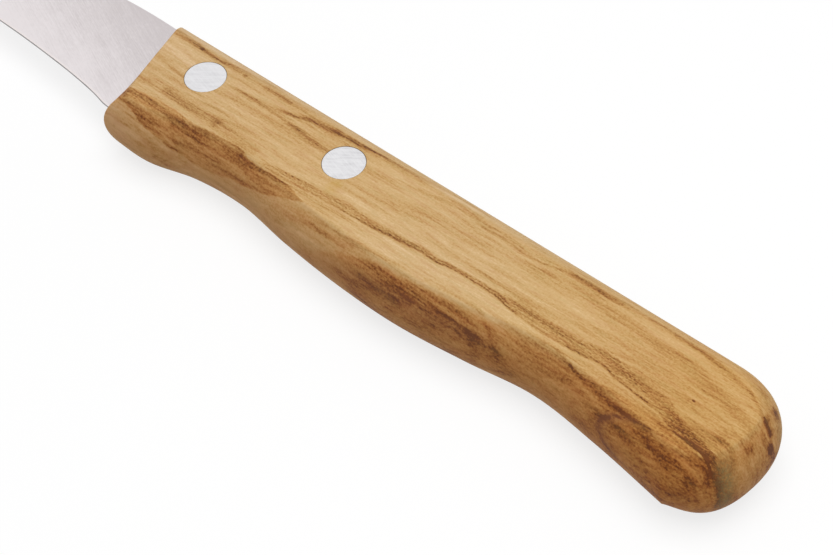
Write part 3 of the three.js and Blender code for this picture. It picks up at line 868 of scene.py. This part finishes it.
class OliveWood(Nodes):
    """The handle's wood: first what its marks are placed by, then each kind of mark."""

    def __init__(self):
        super().__init__(bpy.data.materials.new("olive_wood"))
        self.x, self.y, height = self.part_place()
        self.z = self.math("SUBTRACT", height, THICKNESS)
        self.waves = [self.grain(sizes, self.y, detail) for sizes, detail in WAVES]
        self.across = self.wander(self.y, STREAK_WANDER)
        steady = self.wander(self.y, LINE_WANDER)
        self.place = self.vector(self.x, steady, self.z)
        main = self.curve(self.x, *MAIN_LINE)
        upper = self.curve(self.x, *UPPER_LINE)
        self.off_main = self.math("SUBTRACT", steady, main)
        self.off_upper = self.math("SUBTRACT", steady, upper)
        self.share = self.math(
            "DIVIDE", self.math("SUBTRACT", self.across, main), self.math("SUBTRACT", upper, main))
        self.layer = self.math("MULTIPLY_ADD", self.z, TILT, self.wander(self.y, LAYER_WANDER))
        self.belly_side = self.spread(self.y, *BELLY_FADE)
        self.wedge = self.between(
            self.layer, self.curve(self.x, *WEDGE_FOOT), self.curve(self.x, *WEDGE_TOP), WEDGE_SOFT)
        into_heart = self.math("SUBTRACT", self.curve(self.x, *HEART_TOP), self.layer)
        self.heart = self.spread(into_heart, *HEART_SPREAD)
        off_core = self.math("SUBTRACT", self.layer, self.curve(self.x, *CORE))
        self.core = self.bell(off_core, 0, CORE_HALF)
        self.speckle = self.spread(self.grain(SPECKLE_SIZES, self.y, 1), *SPECKLE_SPREAD)
        self.knot = self.reach(
            self.vector(self.wander(self.x, KNOT_X_WANDER), self.wander(self.y, KNOT_Y_WANDER), self.z),
            KNOT_PLACE, KNOT_RADII)
        self.ring_fade = self.spread(self.x, *RING_FADE)

    def grain(self, sizes, across, detail=2, roughness=0.5):
        """Noise with sizes along X, across and along Z."""
        return self.noise((self.x, across, self.z), sizes, detail, roughness)

    def wander(self, value, amounts):
        """A value that the waves move about."""
        moves = [self.times(wave, amount) for wave, amount in zip(self.waves, amounts) if amount]
        return self.total(value, *moves)

    def along(self, low, high, soft):
        return self.between(self.x, low, high, soft)

    def streaks(self):
        return self.total(*[
            self.times(self.grain(sizes, getattr(self, across), detail, roughness), dark)
            for sizes, across, detail, roughness, dark in STREAKS])

    def lines(self):
        stretches = self.spread(self.grain(STRETCH_SIZES, self.y), *STRETCH_SPREAD)
        return self.total(*[
            self.times(self.bell(getattr(self, measure), centre, half), self.along(start, end, soft),
                       stretches if broken else 1, dark)
            for measure, centre, half, start, end, soft, dark, broken in LINES])

    def bands(self):
        brown = self.between(self.off_main, BAND_START, self.curve(self.x, *BAND_WIDTH), BAND_SOFT)
        pale = self.between(self.off_main, *PALE_BAND)
        return self.total(
            self.times(brown, self.speckle, self.along(*BAND_ALONG), BAND_DARK),
            self.times(pale, self.along(*PALE_ALONG), self.spread(self.z, *PALE_SPREAD), PALE_DARK))

    def rim_wood_and_painted_light(self):
        streaky = self.spread(self.grain(DEEP_SIZES, self.layer), *DEEP_SPREAD)
        rim = self.spread(self.z, *RIM_FADE)
        return self.total(
            self.times(self.wedge, streaky, WEDGE_DARK),
            self.times(self.heart, streaky, self.curve(self.x, *HEART_DARK)),
            self.times(self.core, streaky, self.along(*CORE_ALONG), CORE_DARK),
            self.times(self.grain(RIM_SIZES, self.layer), rim, self.spread(self.x, *RIM_REAR_FADE)),
            # painted shade just below the flat on the belly's side
            self.times(rim, self.belly_side, BELLY_RIM_PAINTED_SHADE),
            # painted highlight, paler, along the spine's edge, fading out near the butt
            self.times(self.spread(self.y, *SPINE_PAINTED_HIGHLIGHT), self.spread(self.x, *SPINE_HIGHLIGHT_ALONG)))

    def knot_marks(self):
        rings = [self.times(self.bell(self.knot, reach, half), self.ring_fade, dark)
                 for reach, half, dark in KNOT_RINGS]
        return self.total(*rings, self.spread(self.knot, *KNOT_INSIDE))

    def spots(self):
        return self.total(*[
            self.times(self.spot(self.place, centre, radii, soft), dark)
            for dark, soft, centre, radii in SPOTS])

    def strokes(self):
        return self.total(*[
            self.times(self.stroke(self.place, start, end, width), dark)
            for dark, width, points in STROKES for start, end in zip(points, points[1:])])

    def kept_colours(self):
        """The shares of red, green and blue that the wood keeps."""
        edge = self.times(self.spread(self.z, *EDGE_FADE), self.belly_side)
        deep = self.math("MAXIMUM", self.wedge, self.heart)
        low = self.times(
            self.spread(self.z, *LOW_FADE), self.belly_side, self.spread(self.x, *LOW_NOSE_FADE))
        kept = []
        for curve, losses in ((GREEN_SHARES, GREEN_LOSS_SHARES), (BLUE_SHARES, BLUE_LOSS_SHARES)):
            lost = [self.math("MULTIPLY_ADD", mask, -loss, 1)
                    for mask, loss in zip((edge, deep, low), losses)]
            kept.append(self.times(self.curve(self.x, *curve), *lost))
        return self.vector(1, *kept)

    def colour(self, tone):
        hue = self.grain(HUE_SIZES, self.across)
        mauve_core = self.times(self.core, self.along(*CORE_MAUVE), CORE_MAUVE_SHARE)
        mauve_ring = self.times(self.bell(self.knot, *RING_MAUVE), self.ring_fade, RING_MAUVE_SHARE)
        green_band = self.times(self.stroke(self.place, *GREEN_BAND), self.speckle, GREEN_BAND_SHARE)
        stain = self.times(self.spot(self.place, *STAIN_SPOT), STAIN_SHARE)
        colour = self.ramp(tone, WOOD_STOPS)
        colour = self.mix(self.spread(hue, *RED_SPREAD), colour, REDDISH)
        colour = self.mix(self.spread(hue, *GREENER_SPREAD), colour, GREENISH)
        colour = self.mix(mauve_core, colour, MAUVE)
        colour = self.mix(mauve_ring, colour, MAUVE)
        colour = self.mix(1, colour, self.kept_colours(), "MULTIPLY")
        colour = self.mix(green_band, colour, OLIVE)
        colour = self.mix(stain, colour, STAIN)
        grit = self.spread(self.grain(GRIT_SIZES, self.y, 1), *GRIT_SPREAD)
        return self.mix(grit, colour, GREENISH)

    def material(self):
        tone = self.total(
            self.spread(self.x, *TONE_RISE), self.streaks(), self.lines(), self.bands(),
            self.rim_wood_and_painted_light(), self.knot_marks(), self.spots(), self.strokes())
        relief = self.bump(self.grain(RELIEF_SIZES, self.y), *RELIEF)
        return self.finish(Base_Color=self.colour(tone), Normal=relief, **WOOD_GLOSS)


# Steel: the grind lines slant by this angle from the blade's length. Its brightness has a level, a
# rise per millimetre of X and Y, a painted reflection that makes it brighter towards the cutting edge
# and the tip, noise along the grind lines, (size along, size across, detail, strength), and cloudy
# noise.
GRIND_DEGREES = -22
STEEL_LEVEL = 0.16
STEEL_PAINTED_REFLECTION_X = -0.016
STEEL_PAINTED_REFLECTION_Y = -0.066
GRIND_NOISES = [(5, 1 / 7, 3, 0.9), (9, 1 / 0.9, 2, 0.5), (1 / 1.6, 1 / 5, 2, 0.8)]
STEEL_CLOUDS = ((3, 3, 1), 3)
STEEL_CLOUDS_STRENGTH = 0.4
STEEL_SPREAD = (-0.2, 1.2)
STEEL_DARK = (0.765, 0.705, 0.71, 1)
STEEL_BRIGHT = (0.99, 0.93, 0.94, 1)
# The bevel's paler colour is a painted highlight.
PAINTED_BEVEL_HIGHLIGHT = (0.97, 0.9, 0.89, 1)
# The honed line's dark colour is a painted dark reflection along the cutting edge.
HONE_SIZES = (2, 1, 1)
HONE_PAINTED_DARK = (0.2, 0.19, 0.19, 1)
HONE_PAINTED_LIGHT = (0.5, 0.47, 0.47, 1)


def satin_steel():
    nodes = new_material("satin_steel")
    x, y, z = nodes.part_place()
    along, across = nodes.slanted(x, y, GRIND_DEGREES)
    grind = [nodes.times(nodes.noise((along, across, z), (length, width, 1), detail), strength)
             for length, width, detail, strength in GRIND_NOISES]
    # The rise along X and Y is a painted reflection; the grind lines and clouds are the satin finish.
    grind_and_painted_reflection = nodes.total(
        nodes.math("MULTIPLY_ADD", x, STEEL_PAINTED_REFLECTION_X, STEEL_LEVEL), nodes.times(y, STEEL_PAINTED_REFLECTION_Y), *grind,
        nodes.times(nodes.noise((x, y, z), *STEEL_CLOUDS), STEEL_CLOUDS_STRENGTH))
    colour = nodes.mix(nodes.spread(grind_and_painted_reflection, *STEEL_SPREAD), STEEL_DARK, STEEL_BRIGHT)
    return nodes.finish(Base_Color=colour, Metallic=1, Roughness=0.38)


def bevel_with_painted_highlight():
    nodes = new_material("bevel_with_painted_highlight")
    # The pale base colour paints a highlight along the bevel.
    return nodes.finish(Base_Color=PAINTED_BEVEL_HIGHLIGHT, Metallic=0.72, Roughness=0.4)


def honed_edge_painted_reflection():
    nodes = new_material("honed_edge_painted_reflection")
    uneven = nodes.math("ADD", nodes.noise(nodes.part_place(), HONE_SIZES), 0.5)
    # The dark base colour paints a dark reflection along the edge.
    return nodes.finish(Base_Color=nodes.mix(uneven, HONE_PAINTED_DARK, HONE_PAINTED_LIGHT), Metallic=1, Roughness=0.3)


# Aluminium: scratches, (degrees from the length, width, strength), and cloudy patches. They show less
# on the front rivet than on the rear one.
SCRATCHES = [(35, 1 / 3.5, 1), (-15, 1 / 7, 0.8)]
SCRATCH_LENGTH = 2.5
PATCHES = ((1, 1 / 1.6, 1), 3, 0.6)
WEAR_SPREAD = (10, 20, 0.6, 1)
ALUMINIUM_LEVEL = 0.6
ALUMINIUM_DARK = (0.8, 0.79, 0.81, 1)
ALUMINIUM_BRIGHT = (0.99, 0.985, 1, 1)
ALUMINIUM_RELIEF = (0.02, 0.4)


def ground_aluminium():
    nodes = new_material("ground_aluminium")
    x, y, z = nodes.part_place()
    marks = nodes.noise((x, y, z), *PATCHES)
    for degrees, width, strength in SCRATCHES:
        place = (*nodes.slanted(x, y, degrees), z)
        scratches = nodes.noise(place, (SCRATCH_LENGTH, width, 1))
        marks = nodes.total(marks, nodes.times(scratches, strength))
    level = nodes.math("MULTIPLY_ADD", marks, nodes.spread(x, *WEAR_SPREAD), ALUMINIUM_LEVEL)
    colour = nodes.mix(nodes.spread(level, 0, 1), ALUMINIUM_DARK, ALUMINIUM_BRIGHT)
    relief = nodes.bump(marks, *ALUMINIUM_RELIEF)
    return nodes.finish(Base_Color=colour, Metallic=0.92, Roughness=0.42, Normal=relief)


# Camera: its place, how it is turned, and what it shows
CAMERA_PLACE = (144.98, -106.76, 166.72 + THICKNESS)
CAMERA_AZIMUTH = 45.84
CAMERA_ELEVATION = 49.66
CAMERA_ROLL = -5.41
CAMERA_CLIP = 10
FRAME_WIDTH_PX = 833
FOCAL_LENGTH_PX = 1900

# Floor: it lies just below the handle. Its glow is the share of it that is light and not paint.
FLOOR_HALF_WIDTH = 4000
FLOOR_GAP = 0.02
FLOOR_GLOW_SHARE = 0.78
FLOOR_SEEN = (0.9, 0.9, 0.9, 1)
FLOOR_BOUNCE = (0.5, 0.5, 0.5, 1)
FLOOR_LIGHT = (1, 1, 1, 1)

# Sky, which shines with strength 1 where it is seen, and the lamp
SKY_STRENGTH = 0.45
LAMP_PLACE = (90, 20, 540)
LAMP_SIZE = 450
LAMP_WATTS = 2.7


def dress(piece, node, slot, *materials):
    for material in materials:
        piece.data.materials.append(material)
    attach(piece, "root")
    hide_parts(node)


def facing(back):
    """The turn of a camera or lamp that looks away from a direction."""
    return back.to_track_quat("Z", "Y").to_matrix()


def make_camera():
    data = bpy.data.cameras.new("camera")
    data.lens = FOCAL_LENGTH_PX / FRAME_WIDTH_PX * data.sensor_width
    data.clip_start = CAMERA_CLIP * MM
    azimuth, elevation = math.radians(CAMERA_AZIMUTH), math.radians(CAMERA_ELEVATION)
    back = Vector((math.sin(azimuth) * math.cos(elevation), -math.cos(azimuth) * math.cos(elevation),
                   math.sin(elevation)))
    turn = facing(back) @ Matrix.Rotation(math.radians(CAMERA_ROLL), 3, "Z")
    camera = add_object("camera", data)
    camera.matrix_world = Matrix.Translation(ORIGIN + Vector(CAMERA_PLACE) * MM) @ turn.to_4x4()
    bpy.context.scene.camera = camera


def white_floor():
    nodes = new_material("white_floor")
    seen = nodes.seen()
    paint = nodes.add("ShaderNodeBsdfDiffuse", {"Color": nodes.mix(seen, FLOOR_BOUNCE, FLOOR_SEEN)})
    glow = nodes.add("ShaderNodeEmission", {"Color": FLOOR_LIGHT, "Strength": 1})
    mixed = nodes.add("ShaderNodeMixShader", {
        "Fac": nodes.math("MULTIPLY", seen, FLOOR_GLOW_SHARE), 1: paint.outputs[0], 2: glow.outputs[0]})
    nodes.add("ShaderNodeOutputMaterial", {"Surface": mixed.outputs[0]})
    return nodes.owner


def make_floor():
    """A white floor: it glows to the camera and in gloss, and still takes part of the shadow."""
    half, level = FLOOR_HALF_WIDTH * MM, handle_low.z - FLOOR_GAP * MM
    corners = [(-half, -half, level), (half, -half, level), (half, half, level), (-half, half, level)]
    mesh = bpy.data.meshes.new("floor")
    mesh.from_pydata(corners, [], [(0, 1, 2, 3)])
    mesh.materials.append(white_floor())
    floor = add_object("floor", mesh)


def make_sky():
    """A white tent all round. It isn't sampled like a lamp, so gloss meets it at full strength."""
    world = bpy.data.worlds.new("world")
    bpy.context.scene.world = world
    nodes = Nodes(world)
    strength = nodes.math("MAXIMUM", nodes.seen(), SKY_STRENGTH)
    background = nodes.add("ShaderNodeBackground", {"Strength": strength})
    nodes.add("ShaderNodeOutputWorld", {"Surface": background.outputs[0]})
    world.cycles.sampling_method = "NONE"


def make_lamp():
    """A soft lamp high above the handle, which no gloss shows."""
    data = bpy.data.lights.new("lamp", "AREA")
    data.shape = "SQUARE"
    data.size = LAMP_SIZE * MM
    data.energy = LAMP_WATTS
    lamp = add_object("lamp", data)
    lamp.visible_glossy = False
    place = ORIGIN + Vector(LAMP_PLACE) * MM
    turn = facing(place - (handle_low + handle_high) / 2)
    lamp.matrix_world = Matrix.Translation(place) @ turn.to_4x4()


dress(make_handle(), "handle", "olive_wood", OliveWood().material())
dress(make_blade(), "blade", "blade_steel", satin_steel(), bevel_with_painted_highlight(), honed_edge_painted_reflection())
aluminium = ground_aluminium()
for rivet_place, rivet_x in (("front", 0), ("rear", RIVET_SPACING)):
    for node_name, half_rivet in make_rivet(rivet_place, rivet_x).items():
        dress(half_rivet, node_name, "rivet_aluminium", aluminium)

make_camera()
make_floor()
make_sky()
make_lamp()
bpy.context.scene.view_settings.view_transform = "Standard"
